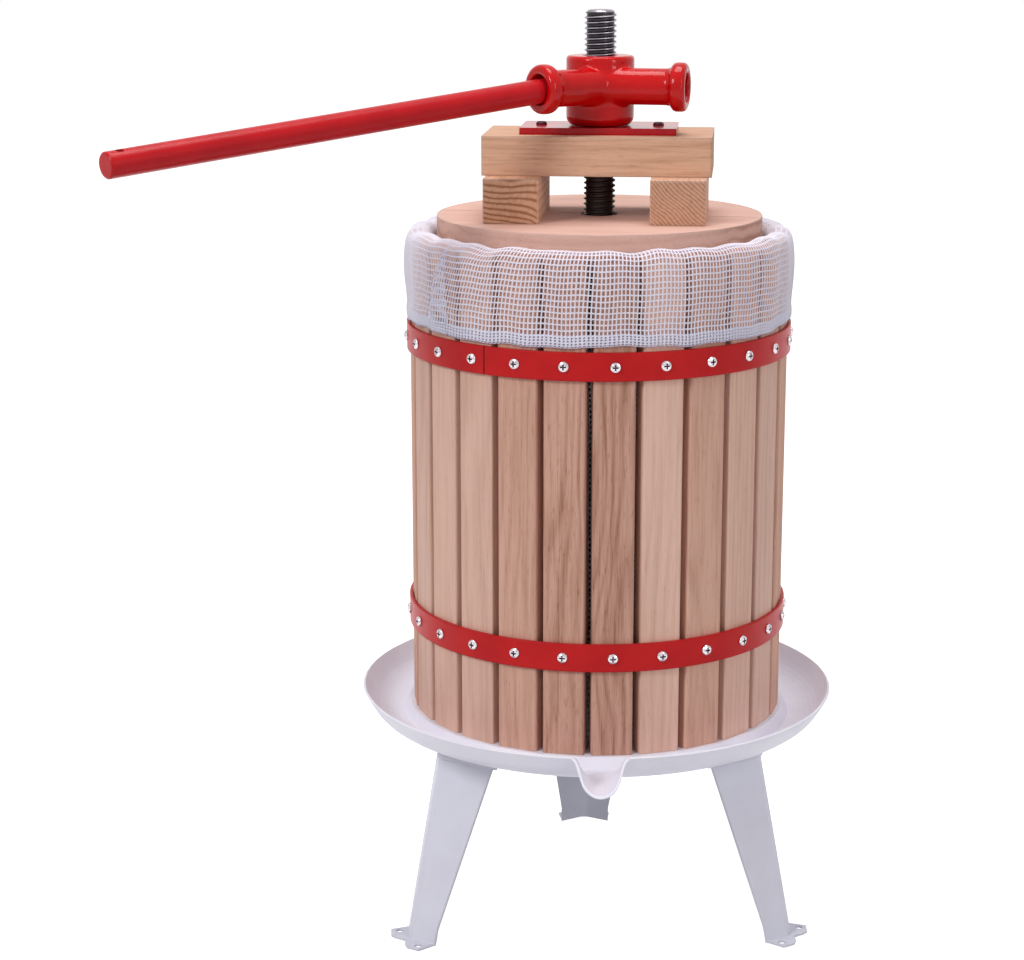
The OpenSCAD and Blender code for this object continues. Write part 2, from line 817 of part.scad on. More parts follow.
tray();
leg_brackets();
leg(leg_azimuths[0]);  // leg_front_left
leg(leg_azimuths[1]);  // leg_front_right
leg(leg_azimuths[2]);  // leg_rear
leg_bolts();
leg_nuts();
spindle();
spindle_washers();
spindle_nuts();
for (i = [0:stave_count - 1])
    stave(i);
band(band_low_h, low_joint_turn);  // lower_band
band(band_high_h, band_joint_turn);  // upper_band
band_screws(band_low_h);  // lower_band_screws
band_screws(band_high_h);  // upper_band_screws
straining_bag();
board_half(-1);  // board_front
board_half(1);  // board_rear
block(-1);  // block_left
block(1);  // block_right
cross_beam();
thrust_plate();
plate_screws();
press_head();
handle_rod();
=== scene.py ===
import math

import bmesh
import bpy
import numpy as np
from mathutils import Matrix, Vector


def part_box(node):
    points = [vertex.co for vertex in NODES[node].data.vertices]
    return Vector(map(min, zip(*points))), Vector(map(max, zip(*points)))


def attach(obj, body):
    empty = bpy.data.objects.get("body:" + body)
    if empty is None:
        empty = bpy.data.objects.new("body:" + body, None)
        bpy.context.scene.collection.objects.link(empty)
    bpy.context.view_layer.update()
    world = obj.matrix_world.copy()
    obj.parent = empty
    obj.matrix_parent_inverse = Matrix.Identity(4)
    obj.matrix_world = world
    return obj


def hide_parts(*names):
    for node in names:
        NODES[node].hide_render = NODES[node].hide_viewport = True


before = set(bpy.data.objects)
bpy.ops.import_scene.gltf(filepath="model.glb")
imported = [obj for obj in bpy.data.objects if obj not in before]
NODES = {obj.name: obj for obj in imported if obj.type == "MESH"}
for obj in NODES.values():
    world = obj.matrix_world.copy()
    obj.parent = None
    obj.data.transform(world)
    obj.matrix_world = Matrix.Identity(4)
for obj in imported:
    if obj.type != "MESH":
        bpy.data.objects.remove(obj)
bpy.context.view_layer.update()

MM = 0.001
STAVES = [n for n in sorted(NODES) if n.startswith("stave_")]


def link(obj):
    bpy.context.scene.collection.objects.link(obj)
    return obj


# ---------------------------------------------------------------- camera
# Fitted to the photograph
CAMERA_AT = (0, -1.8336, 0.7925)
CAMERA_FORWARD = (-0.0356, 0.9714, -0.2348)
CAMERA_ROLL_DEG = -0.068
LENS_MM, SENSOR_MM = 84.16, 36.0
CLIP_NEAR, CLIP_FAR = 0.05, 50.0


def make_camera():
    data = bpy.data.cameras.new("camera")
    data.lens, data.sensor_width = LENS_MM, SENSOR_MM
    data.clip_start, data.clip_end = CLIP_NEAR, CLIP_FAR
    cam = link(bpy.data.objects.new("camera", data))
    forward = Vector(CAMERA_FORWARD).normalized()
    right = forward.cross(Vector((0, 0, 1))).normalized()
    up = right.cross(forward)
    turned = Matrix((right, up, -forward)).transposed().to_4x4()
    roll = Matrix.Rotation(math.radians(CAMERA_ROLL_DEG), 4, "Z")
    cam.matrix_world = Matrix.Translation(CAMERA_AT) @ turned @ roll
    bpy.context.scene.camera = cam


# ---------------------------------------------------------------- node helpers
TREE = None  # the node tree that the helpers below add to


def srgb(r, g, b):
    """The linear colour of a shader for a colour given as it is seen, each part from 0 to 255."""
    linear = (((c / 255 + 0.055) / 1.055) ** 2.4 if c > 10 else c / 255 / 12.92 for c in (r, g, b))
    return tuple(linear) + (1.0,)


def node(kind, ins=None, out=0, **attrs):
    """Adds a node with its inputs linked or set, and returns one of its outputs."""
    made = TREE.nodes.new("ShaderNode" + kind)
    for k, v in attrs.items():
        setattr(made, k, v)
    for k, v in (ins or {}).items():
        if isinstance(v, bpy.types.NodeSocket):
            TREE.links.new(v, made.inputs[k])
        else:
            made.inputs[k].default_value = v
    return made.outputs[out]


def calc(operation, a, b=0.0, clamp=False):
    return node("Math", {0: a, 1: b}, operation=operation, use_clamp=clamp)


def plus(a, b, clamp=False):
    return calc("ADD", a, b, clamp)


def minus(a, b):
    return calc("SUBTRACT", a, b)


def times(a, b):
    return calc("MULTIPLY", a, b)


def mix(share, a, b):
    return node("Mix", {0: share, 6: a, 7: b}, out=2, data_type="RGBA")


def steps(value, low, high, to_low=0.0, to_high=1.0):
    ins = {0: value, 1: low, 2: high, 3: to_low, 4: to_high}
    return node("MapRange", ins, interpolation_type="SMOOTHSTEP")


def place(vector, scale=(1, 1, 1), turn=(0, 0, 0), move=(0, 0, 0)):
    return node("Mapping", {0: vector, 1: move, 2: turn, 3: scale})


def noise(vector, scale, detail=2.0, rough=0.5):
    ins = {"Vector": vector, "Scale": scale, "Detail": detail, "Roughness": rough}
    return node("TexNoise", ins)


def dot(a, b):
    return node("VectorMath", {0: a, 1: b}, out="Value", operation="DOT_PRODUCT")


def object_value(name):
    """A number that each object carries as a custom property."""
    return node("Attribute", out="Fac", attribute_type="OBJECT", attribute_name=name)


def bump(height, strength, distance, normal=None):
    ins = {"Strength": strength, "Distance": distance, "Height": height}
    return node("Bump", ins if normal is None else {**ins, "Normal": normal})


def begin(name):
    global TREE
    made = bpy.data.materials.new(name)
    made.use_nodes = True
    TREE = made.node_tree
    TREE.nodes.clear()
    return made


def finish_with(shader):
    TREE.links.new(shader, TREE.nodes.new("ShaderNodeOutputMaterial").inputs[0])


def principled(**ins):
    return node("BsdfPrincipled", {k.replace("_", " "): v for k, v in ins.items()})


def edge_mask(radius):
    """1 on an edge and 0 on a flat face, and the rounded normal."""
    rounded = node("Bevel", {0: radius}, samples=4)
    flat = node("NewGeometry", out="Normal")
    return steps(dot(rounded, flat), 0.995, 0.8), rounded


def seen_share():
    """1 for what is seen, also in gloss or glass, and 0 for what only lights the object."""
    path = TREE.nodes.new("ShaderNodeLightPath").outputs
    seen = plus(path["Is Camera Ray"], path["Is Glossy Ray"])
    return plus(seen, path["Is Transmission Ray"], clamp=True)


# ---------------------------------------------------------------- materials
# For each direction of the grain: the parts of a place across it (two) and along it
GRAIN_PARTS = {"Z": (0, 1, 2), "X": (1, 2, 0), "Y": (0, 2, 1)}
SEED_SHIFT = (3.7, 5.3, 9.1)  # how far a piece's seed moves its pattern, so that no two are alike
RING_SWAY = (0.045, 0.035)    # how far the rings wander across the grain, in metres
RING_WAVER = 0.9              # uneven widths of the rings, in rings
RING_SHARPNESS = 2.4
WHITE = (1, 1, 1, 1)


def wood(name, light, dark, figure, streak, fleck, ring, pith=(0.05, -0.02), grain="Z", turn=0.0,
         round_r=0.0012):
    """Bare sanded beech. figure, streak and fleck say how much rings, fibres and flecks show. The
    rings are ring metres apart, round a pith line beside the piece that runs along the grain."""
    made = begin(name)
    where = node("TexCoord", out="Object")
    seed, tone = object_value("seed"), object_value("tone")
    turned = place(where, turn=(0, 0, -turn))
    shift = node("CombineXYZ", {k: times(seed, by) for k, by in enumerate(SEED_SHIFT)})
    parts = node("SeparateXYZ", {0: turned}).node.outputs
    u, v, w = (parts[k] for k in GRAIN_PARTS[grain])
    base = node("CombineXYZ", {0: u, 1: v, 2: w})
    moved = node("VectorMath", {0: base, 1: shift}, operation="ADD")
    # rings
    sway_u = noise(place(moved, (9, 9, 1.6)), 1.0)
    sway_v = noise(place(moved, (14, 14, 3.0), move=(7, 3, 1)), 1.0)
    du = plus(minus(u, pith[0]), times(minus(sway_u, 0.5), RING_SWAY[0]))
    dv = plus(minus(v, pith[1]), times(minus(sway_v, 0.5), RING_SWAY[1]))
    far = calc("SQRT", plus(times(du, du), times(dv, dv)))
    waver = times(noise(place(moved, (40, 40, 5)), 1.0), RING_WAVER)
    phase = plus(calc("DIVIDE", far, ring), waver)
    wave = plus(times(calc("SINE", times(phase, 2 * math.pi)), 0.5), 0.5)
    rings = calc("POWER", wave, RING_SHARPNESS)
    # fibres, flecks and broad tone
    fibre = noise(place(moved, (1000, 1000, 30)), 1.0, 3.0, 0.6)
    coarse = noise(place(moved, (330, 330, 13)), 1.0, 3.0, 0.6)
    dash = steps(noise(place(moved, (900, 900, 110)), 1.0, 1.0), 0.6, 0.72)
    broad = noise(place(moved, (16, 16, 3.2)), 1.0)
    lines = steps(coarse, 0.42, 0.68)
    darkness = times(rings, figure)
    darkness = plus(darkness, times(steps(fibre, 0.35, 0.75), 0.34 * streak))
    darkness = plus(darkness, times(lines, 0.42 * streak))
    darkness = plus(darkness, times(minus(broad, 0.5), 0.75))
    darkness = plus(darkness, times(dash, fleck))
    # end grain is darker, with plainer rings
    normal = node("NewGeometry", out="Normal")
    across, along = math.sin(turn), math.cos(turn)
    axis = {"Z": (0, 0, 1), "X": (along, across, 0), "Y": (-across, along, 0)}[grain]
    end = steps(calc("ABSOLUTE", dot(normal, axis)), 0.75, 0.95)
    darkness = plus(darkness, times(end, plus(times(rings, 0.45), 0.22)))
    colour = mix(plus(darkness, 0.0, clamp=True), light, dark)
    # painted highlight: the rounded edges are painted paler, towards white; and each piece's own
    # tone
    edges, rounded = edge_mask(round_r)
    colour = mix(times(edges, 0.35), colour, mix(0.5, light, WHITE))
    own = {"Hue": 0.5, "Saturation": plus(1.0, times(tone, 0.6)), "Value": plus(1.0, tone)}
    colour = node("HueSaturation", {**own, "Fac": 1.0, "Color": colour})
    height = plus(times(fibre, 0.5), times(lines, -0.4))
    finish_with(principled(
        Base_Color=colour, Roughness=plus(0.56, times(fibre, 0.2)), Specular_IOR_Level=0.32,
        Normal=bump(height, 0.22, 0.0004, rounded)))
    return made


def powder_coat(name, colour, shade):
    made = begin(name)
    where = node("TexCoord", out="Object")
    cloud = noise(where, 22.0, 3.0, 0.6)
    grain = noise(where, 1500.0, 2.0, 0.6)
    edges, rounded = edge_mask(0.0012)
    tint = mix(steps(cloud, 0.35, 0.7), colour, shade)
    # painted highlight: the rounded edges are painted a lighter white
    tint = mix(times(edges, 0.5), tint, (0.92, 0.92, 0.94, 1))
    finish_with(principled(
        Base_Color=tint, Roughness=plus(0.4, times(grain, 0.12)), Specular_IOR_Level=0.45,
        Normal=bump(grain, 0.18, 0.0002, rounded)))
    return made


def enamel(name, colour, shade, rough, peel, shine, cast=0.0, round_r=0.0015):
    """Glossy paint. peel is the height of its orange peel, and cast that of a casting's lumps."""
    made = begin(name)
    where = node("TexCoord", out="Object")
    cloud = noise(where, 35.0, 3.0, 0.6)
    orange = noise(where, 420.0, 1.0)
    lumps = noise(where, 95.0)
    specks = steps(noise(where, 900.0, 1.0), 0.7, 0.8)
    edges, rounded = edge_mask(round_r)
    tint = mix(steps(cloud, 0.3, 0.75), colour, shade)
    tint = mix(times(specks, 0.18), tint, shade)
    # painted highlight: the rounded edges are painted in the lighter colour, without the darker
    # cloud
    tint = mix(times(edges, 0.25), tint, colour)
    height = plus(times(orange, peel), times(lumps, cast))
    finish_with(principled(
        Base_Color=tint, Roughness=plus(rough, times(cloud, 0.08)), Specular_IOR_Level=shine,
        Normal=bump(height, 0.6, 0.0012, rounded)))
    return made


def metal(name, colour, shade, rough, scale=300.0, recess=0.0):
    """Plated steel. Hollows narrower than recess metres, such as a screw's cross, get painted
    shade.
    """
    made = begin(name)
    where = node("TexCoord", out="Object")
    cloud = noise(where, scale, 3.0, 0.6)
    fine = noise(where, 2600.0)
    _, rounded = edge_mask(0.0005)
    tint = mix(steps(cloud, 0.35, 0.7), colour, shade)
    if recess:
        # painted shade: narrow hollows are darkened by how occluded they are
        painted_recess_shade = node(
            "AmbientOcclusion", {"Distance": recess}, out="AO", samples=8, only_local=True)
        tint = mix(steps(painted_recess_shade, 0.62, 0.97), srgb(26, 20, 24), tint)
    finish_with(principled(
        Base_Color=tint, Metallic=1.0, Roughness=plus(rough, times(cloud, 0.15)),
        Normal=bump(fine, 0.1, 0.0001, rounded)))
    return made


def thread_steel(name, dark_z, bright_z, top_z):
    """Turned steel with painted shade below dark_z, where the beam shades it. Above bright_z it is
    bright, with painted shade in the thread's roots, so that the crests and end stand out bright.
    """
    made = begin(name)
    where = node("TexCoord", out="Object")
    height = node("SeparateXYZ", {0: where}, out=2)
    high = steps(height, dark_z, bright_z)
    turned = noise(place(where, (120, 120, 2600)), 1.0)
    cloud = noise(where, 90.0, 3.0, 0.6)
    # painted shade: below dark_z the steel is painted dark
    painted_shade_tint = mix(cloud, srgb(34, 28, 28), srgb(62, 54, 53))
    high_tint = mix(steps(turned, 0.35, 0.7), srgb(186, 180, 190), srgb(140, 134, 144))
    radial = node("VectorMath", {0: place(where, (1, 1, 0))}, out="Value", operation="LENGTH")
    crest = steps(radial, 0.0114, 0.0121)
    end = steps(height, top_z - 0.0012, top_z - 0.0006, 0.0, 0.72)
    unshaded_crest_and_end = calc("MAXIMUM", crest, end)
    # painted shade: the thread's roots are painted dark, while the crests and the end keep the
    # bright tint
    high_tint = mix(unshaded_crest_and_end, mix(0.93, high_tint, srgb(30, 25, 30)), high_tint)
    finish_with(principled(
        Base_Color=mix(high, painted_shade_tint, high_tint), Metallic=plus(0.45, times(high, 0.5)),
        Roughness=minus(0.46, times(high, 0.14)), Normal=bump(turned, 0.12, 0.0001)))
    return made


def net_thread(name):
    """White knitted polyester: twisted strands with a soft sheen that let some light through."""
    made = begin(name)
    where = node("TexCoord", out="Object")
    strand = noise(place(where, (1100, 1100, 700)), 1.0)
    cloud = noise(where, 30.0)
    tint = mix(steps(strand, 0.3, 0.75), srgb(247, 245, 255), srgb(239, 237, 255))
    tint = mix(times(steps(cloud, 0.45, 0.7), 0.3), tint, srgb(240, 236, 255))
    bumped = bump(strand, 0.3, 0.0003)
    body = principled(
        Base_Color=tint, Roughness=0.75, Specular_IOR_Level=0.2, Sheen_Weight=0.3,
        Sheen_Roughness=0.5, Normal=bumped)
    through = node("BsdfTranslucent", {0: tint, 1: bumped})
    finish_with(node("MixShader", {0: 0.2, 1: body, 2: through}))
    return made


def floor_white(name):
    made = begin(name)
    seen = seen_share()
    body = node("BsdfDiffuse", {0: (0.6, 0.6, 0.61, 1)})
    glow = node("Emission", {0: WHITE, 1: times(seen, 0.92)})
    finish_with(node("AddShader", {0: body, 1: glow}))
    return made


# ---------------------------------------------------------------- dressing the CAD's nodes
STAVE_LOOKS = "tpbppbpbtpbbptpbpptbpppbt"  # t is tight-grained, p pale and b brown
STAVE_SEED_STEP = 0.618034
STAVE_EDGE, BLOCK_EDGE = 0.0011, 0.0022    # widths of the rounded edges, in metres
BOARD_TURN = math.radians(-9)
BEAM_TURN = math.radians(-3.5)


def paint(material, *names):
    for n in names:
        o = NODES[n]
        if not o.material_slots:
            o.data.materials.append(None)
        for s in o.material_slots:
            s.link = "OBJECT"
            s.material = material


def vary(name, seed, tone):
    """A piece's place in the pattern of its wood, and its own share of brightness."""
    NODES[name]["seed"], NODES[name]["tone"] = seed, tone


def round_over(name, width):
    edge = NODES[name].modifiers.new("edges", "BEVEL")
    edge.width, edge.segments = width, 3
    edge.limit_method, edge.angle_limit = "ANGLE", math.radians(50)


def dress_wood():
    looks = {
        "t": wood("beech", srgb(204, 160, 142), srgb(148, 100, 80),
                  figure=0.34, streak=0.85, fleck=0.3, ring=0.003),
        "p": wood("beech_pale", srgb(226, 187, 170), srgb(180, 132, 112),
                  figure=0.16, streak=0.45, fleck=0.15, ring=0.006, pith=(0.4, 0.3)),
        "b": wood("beech_brown", srgb(217, 171, 151), srgb(164, 112, 90),
                  figure=0.22, streak=0.55, fleck=0.22, ring=0.005, pith=(-0.3, 0.2)),
    }
    for i, n in enumerate(STAVES):
        vary(n, (i * STAVE_SEED_STEP) % 1.0, 0.03 * math.sin(2.4 * i + 0.6))
        paint(looks[STAVE_LOOKS[i]], n)
    board = wood("board_beech", srgb(221, 180, 166), srgb(180, 134, 116),
                 figure=0.2, streak=0.35, fleck=0.2, ring=0.009, pith=(0.0, -0.3),
                 grain="X", turn=BOARD_TURN, round_r=0.0025)
    paint(board, "board_front", "board_rear")
    vary("board_front", 0.3, 0.0)
    vary("board_rear", 0.8, 0.03)
    beam = wood("beam_beech", srgb(216, 172, 144), srgb(160, 112, 80),
                figure=0.12, streak=0.7, fleck=0.25, ring=0.006, pith=(0.2, 0.3),
                grain="X", turn=BEAM_TURN, round_r=0.003)
    paint(beam, "cross_beam")
    vary("cross_beam", 0.45, 0.0)
    left = wood("block_beech_left", srgb(222, 175, 144), srgb(150, 98, 68),
                figure=0.3, streak=0.4, fleck=0.25, ring=0.0046, pith=(-0.075, 0.46),
                grain="Y", turn=BEAM_TURN, round_r=0.003)
    paint(left, "block_left")
    vary("block_left", 0.12, 0.0)
    right = wood("block_beech_right", srgb(216, 172, 146), srgb(156, 108, 80),
                 figure=0.12, streak=0.4, fleck=0.3, ring=0.0026, pith=(0.3, 0.9),
                 grain="Y", turn=BEAM_TURN, round_r=0.003)
    paint(right, "block_right")
    vary("block_right", 0.66, 0.0)
    for name in ("cross_beam", "block_left", "block_right"):
        round_over(name, BLOCK_EDGE)
    for name in STAVES:
        round_over(name, STAVE_EDGE)


def dress_metal():
    # one white powder coat in two copies, painted light and shade: the tray's copy is painted
    # lighter and the legs' copy darker
    paint(powder_coat("tray_coat_painted_lit", srgb(240, 238, 250), srgb(234, 232, 245)), "tray")
    paint(powder_coat("leg_coat_painted_shade", srgb(225, 224, 237), srgb(219, 218, 231)),
          "leg_brackets", "leg_front_left", "leg_front_right", "leg_rear")
    band = enamel("band_enamel", srgb(196, 28, 30), srgb(184, 24, 28),
                  rough=0.3, peel=0.03, shine=0.14)
    paint(band, "upper_band", "lower_band")
    plate = enamel("plate_enamel", srgb(178, 18, 26), srgb(164, 14, 24),
                   rough=0.1, peel=0.03, shine=0.2)
    paint(plate, "thrust_plate")
    rod = enamel("rod_enamel", srgb(192, 22, 30), srgb(178, 18, 28),
                 rough=0.26, peel=0.08, shine=0.15, cast=0.08)
    paint(rod, "handle_rod")
    bright = metal("bright_plate", srgb(214, 206, 210), srgb(180, 172, 178),
                   rough=0.16, recess=0.0022)
    paint(bright, "upper_band_screws", "lower_band_screws")
    paint(metal("dark_screw", srgb(96, 60, 66), srgb(60, 36, 42), rough=0.35), "plate_screws")
    zinc = metal("zinc", srgb(206, 206, 208), srgb(176, 176, 180), rough=0.3, scale=120.0)
    paint(zinc, "leg_bolts", "leg_nuts", "spindle_washers", "spindle_nuts")


# ---------------------------------------------------------------- head as one casting
VOXEL = 0.8 * MM
SOFT_ROUNDS = 14                  # rounds of smoothing all over the head
FILLET_ROUNDS = 130               # rounds in all where its two sockets meet in front of the hub
MEETING = (5.0, -36.0, 658.0)     # that place, in mm
MEETING_REACH = 13 * MM
MEETING_SCALE = (1, 1, 0.6)       # it reaches further up and down


def make_casting():
    """The head with rounded edges and filled inner corners, most where its sockets meet."""
    source = NODES["press_head"]
    piece = link(bpy.data.objects.new("head_casting", source.data.copy()))
    piece.matrix_world = source.matrix_world
    grid = piece.modifiers.new("voxels", "REMESH")
    grid.mode, grid.voxel_size = "VOXEL", VOXEL
    bpy.context.view_layer.update()
    made = piece.evaluated_get(bpy.context.evaluated_depsgraph_get())
    mesh = bpy.data.meshes.new_from_object(made)
    piece.modifiers.clear()
    count = len(mesh.vertices)
    co = np.empty(count * 3)
    mesh.vertices.foreach_get("co", co)
    turn = np.array(source.matrix_world)
    co = co.reshape(-1, 3) @ turn[:3, :3].T + turn[:3, 3]
    ends = np.empty(len(mesh.edges) * 2, np.int32)
    mesh.edges.foreach_get("vertices", ends)
    ends = ends.reshape(-1, 2)
    a, b = np.r_[ends[:, 0], ends[:, 1]], np.r_[ends[:, 1], ends[:, 0]]
    neighbours = np.maximum(np.bincount(a, minlength=count), 1)
    away = np.linalg.norm((co - np.array(MEETING) * MM) * MEETING_SCALE, axis=1)
    near = np.exp(-(away / MEETING_REACH) ** 4)
    for i in range(FILLET_ROUNDS):
        sums = [np.bincount(a, weights=co[b, k], minlength=count) for k in range(3)]
        middle = np.stack(sums, 1) / neighbours[:, None]
        pull = 0.5 * near if i >= SOFT_ROUNDS else np.full(count, 0.5)
        co += (middle - co) * pull[:, None]
    back = np.linalg.inv(turn)
    mesh.vertices.foreach_set("co", (co @ back[:3, :3].T + back[:3, 3]).ravel())
    mesh.update()
    mesh.shade_smooth()
    mesh.materials.clear()
    mesh.materials.append(enamel(
        "cast_enamel", srgb(198, 9, 13), srgb(182, 7, 12),
        rough=0.1, peel=0.04, shine=0.2, cast=0.14, round_r=0.0006))
    piece.data = mesh
    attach(piece, "head")
    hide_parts("press_head")


# ---------------------------------------------------------------- spindle with a true helix
THREAD_PITCH, THREAD_TURNS = 4.0, 48
CREST_R, ROOT_R = 12.1, 10.4
# The thread's profile: shares of a pitch, and the radius there
THREAD_PROFILE = ((0.12, CREST_R), (0.26, CREST_R), (0.5, ROOT_R), (0.88, ROOT_R))
SIDES = 64
RUN_OUT_R, RUN_OUT_SLOPE = ROOT_R - 0.6, 1.1  # the thread's chamfer at the upper end
# The domed end: radii, and heights above the end in the CAD
DOME = ((ROOT_R - 0.6, 0.0), (ROOT_R - 1.4, 0.5), (ROOT_R - 4.0, 0.9), (1.0, 1.1))
FOOT_CHAMFER = 1.5
DARK_Z, BRIGHT_Z = 0.615, 0.66    # between these, in metres, the thread turns from painted shade to bright


def make_spindle():
    low, high = (c.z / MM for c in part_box("spindle"))
    plain = high - THREAD_TURNS * THREAD_PITCH
    rows = [(m + s, r) for m in range(-1, THREAD_TURNS + 1) for s, r in THREAD_PROFILE]
    verts, faces = [], []
    for t, r in rows:
        for k in range(SIDES):
            a = 2 * math.pi * k / SIDES
            z = min(max(plain + THREAD_PITCH * (t + k / SIDES), plain), high)
            reach = min(r, RUN_OUT_R + (high - z) * RUN_OUT_SLOPE)
            if z <= plain:
                reach = CREST_R
            verts.append((reach * math.cos(a), reach * math.sin(a), z))
    turn = len(THREAD_PROFILE)  # rows in one turn, by which the last side meets the first
    for i in range(len(rows) - turn - 1):
        now, up = i * SIDES, (i + 1) * SIDES
        for k in range(SIDES - 1):
            faces.append((now + k, now + k + 1, up + k + 1, up + k))
        faces.append((now + SIDES - 1, (i + turn) * SIDES, (i + turn + 1) * SIDES, up + SIDES - 1))
    mesh = bpy.data.meshes.new("spindle_thread")
    mesh.from_pydata([[c * MM for c in v] for v in verts], [], faces)
    bm = bmesh.new()
    bm.from_mesh(mesh)
    bmesh.ops.remove_doubles(bm, verts=bm.verts, dist=1e-6)
    bmesh.ops.dissolve_degenerate(bm, edges=bm.edges, dist=1e-7)
    loose = [v for v in bm.verts if not v.link_faces]
    bmesh.ops.delete(bm, geom=loose, context="VERTS")

    def ring(r, z):
        turns = [2 * math.pi * k / SIDES for k in range(SIDES)]
        return [bm.verts.new((r * math.cos(a) * MM, r * math.sin(a) * MM, z * MM)) for a in turns]

    def skin(a, b):
        for k in range(SIDES):
            bm.faces.new((a[k], a[(k + 1) % SIDES], b[(k + 1) % SIDES], b[k]))

    profile = ((CREST_R, plain), (CREST_R, low + FOOT_CHAMFER), (CREST_R - FOOT_CHAMFER, low))
    shank = [ring(r, z) for r, z in profile]
    for a, b in zip(shank, shank[1:]):
        skin(b, a)
    bm.faces.new(list(reversed(shank[-1])))
    dome = [ring(r, high + rise) for r, rise in DOME]
    for a, b in zip(dome, dome[1:]):
        skin(a, b)
    bm.faces.new(dome[-1])
    bmesh.ops.remove_doubles(bm, verts=bm.verts, dist=2e-6)
    bmesh.ops.recalc_face_normals(bm, faces=bm.faces)
    bm.to_mesh(mesh)
    bm.free()
    piece = link(bpy.data.objects.new("spindle_helix", mesh))
    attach(piece, "frame")
    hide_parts("spindle")
    piece.data.materials.append(thread_steel("spindle_steel", DARK_Z, BRIGHT_Z, high * MM))


# ---------------------------------------------------------------- net bag
# Radius and height of the cloth in mm, from inside the hem, over the fold and down to the floor
OUTLINE = [
    (146.5, 491.5), (146.6, 484.5), (146.9, 482.3), (147.5, 482.3), (147.9, 484.5), (148.0, 489.5),
    (147.5, 493.5), (148.0, 502), (148.9, 514), (149.1, 524), (148.6, 534), (147.6, 541),
    (145.8, 546.2), (142.6, 549.4), (138, 550.4), (133, 549.6), (129.6, 546), (128.3, 540),
    (127.9, 530), (127.8, 480), (127.6, 340), (127.6, 190), (127.0, 177), (125, 175.0),
    (60, 174.6), (25.5, 174.6)]
OUTLINE_STEPS = 16
CELL_U, CELL_S = 2.95, 4.3        # a cell of the mesh, round the cloth and along it
FOLD_AT = math.radians(-49.0)     # where the pleat is
LAP, TURN_R = 23.0, 147.5         # the pleat takes up twice its width; the cuff's radius
AROUND = 2 * math.pi * TURN_R + 2 * LAP
FIRST_ROW = 0.8
HEM_END = 19.0                    # how far the closer threads of the hem reach along the cloth
LINING_FROM_Z = 500               # below this, inside the basket, the net has plainer threads
LINING_STEP = 3                   # and this many times fewer points
OUTSIDE_R, LINING_R = 138, 130
# Width of a thread, height of its ridge and its level over the middle of the cloth, in mm
NET_DOWN, NET_ROUND = (1.08, 0.45, 0.05), (1.12, 0.4, -0.08)
LINING_DOWN, LINING_ROUND = (1.5, 0.45, 0.05), (1.7, 0.4, -0.08)
HEM_DOWN, HEM_ROUND = (0.7, 0.4, 0.0), (0.75, 0.4, 0.0)
# Across a thread: places as shares of its width, and heights as shares of its ridge
RIDGED = (np.array([-0.5, 0.0, 0.5]), np.array([0.0, 1.0, 0.0]))
FLAT = (np.array([-0.5, 0.5]), np.array([0.0, 0.0]))


def smooth_outline():
    """The outline as a smooth line, and the distance along it of each of its points."""
    pts = np.array(OUTLINE, float)
    out = []
    for i in range(len(pts) - 1):
        p0, p1, p2, p3 = pts[max(i - 1, 0)], pts[i], pts[i + 1], pts[min(i + 2, len(pts) - 1)]
        reach = np.linalg.norm(p2 - p1)
        m1 = (p2 - p0) / max(np.linalg.norm(p2 - p0), 1e-9) * reach
        m2 = (p3 - p1) / max(np.linalg.norm(p3 - p1), 1e-9) * reach
        for t in np.linspace(0, 1, OUTLINE_STEPS, endpoint=False):
            out.append(
                (2 * t**3 - 3 * t**2 + 1) * p1 + (t**3 - 2 * t**2 + t) * m1
                + (3 * t**2 - 2 * t**3) * p2 + (t**3 - t**2) * m2)
    out.append(pts[-1])
    out = np.array(out)
    return out, np.r_[0, np.cumsum(np.linalg.norm(np.diff(out, axis=0), axis=1))]


LINE, REACH = smooth_outline()


def bell(x, centre, width):
    return np.exp(-(((x - centre) / width) ** 2))


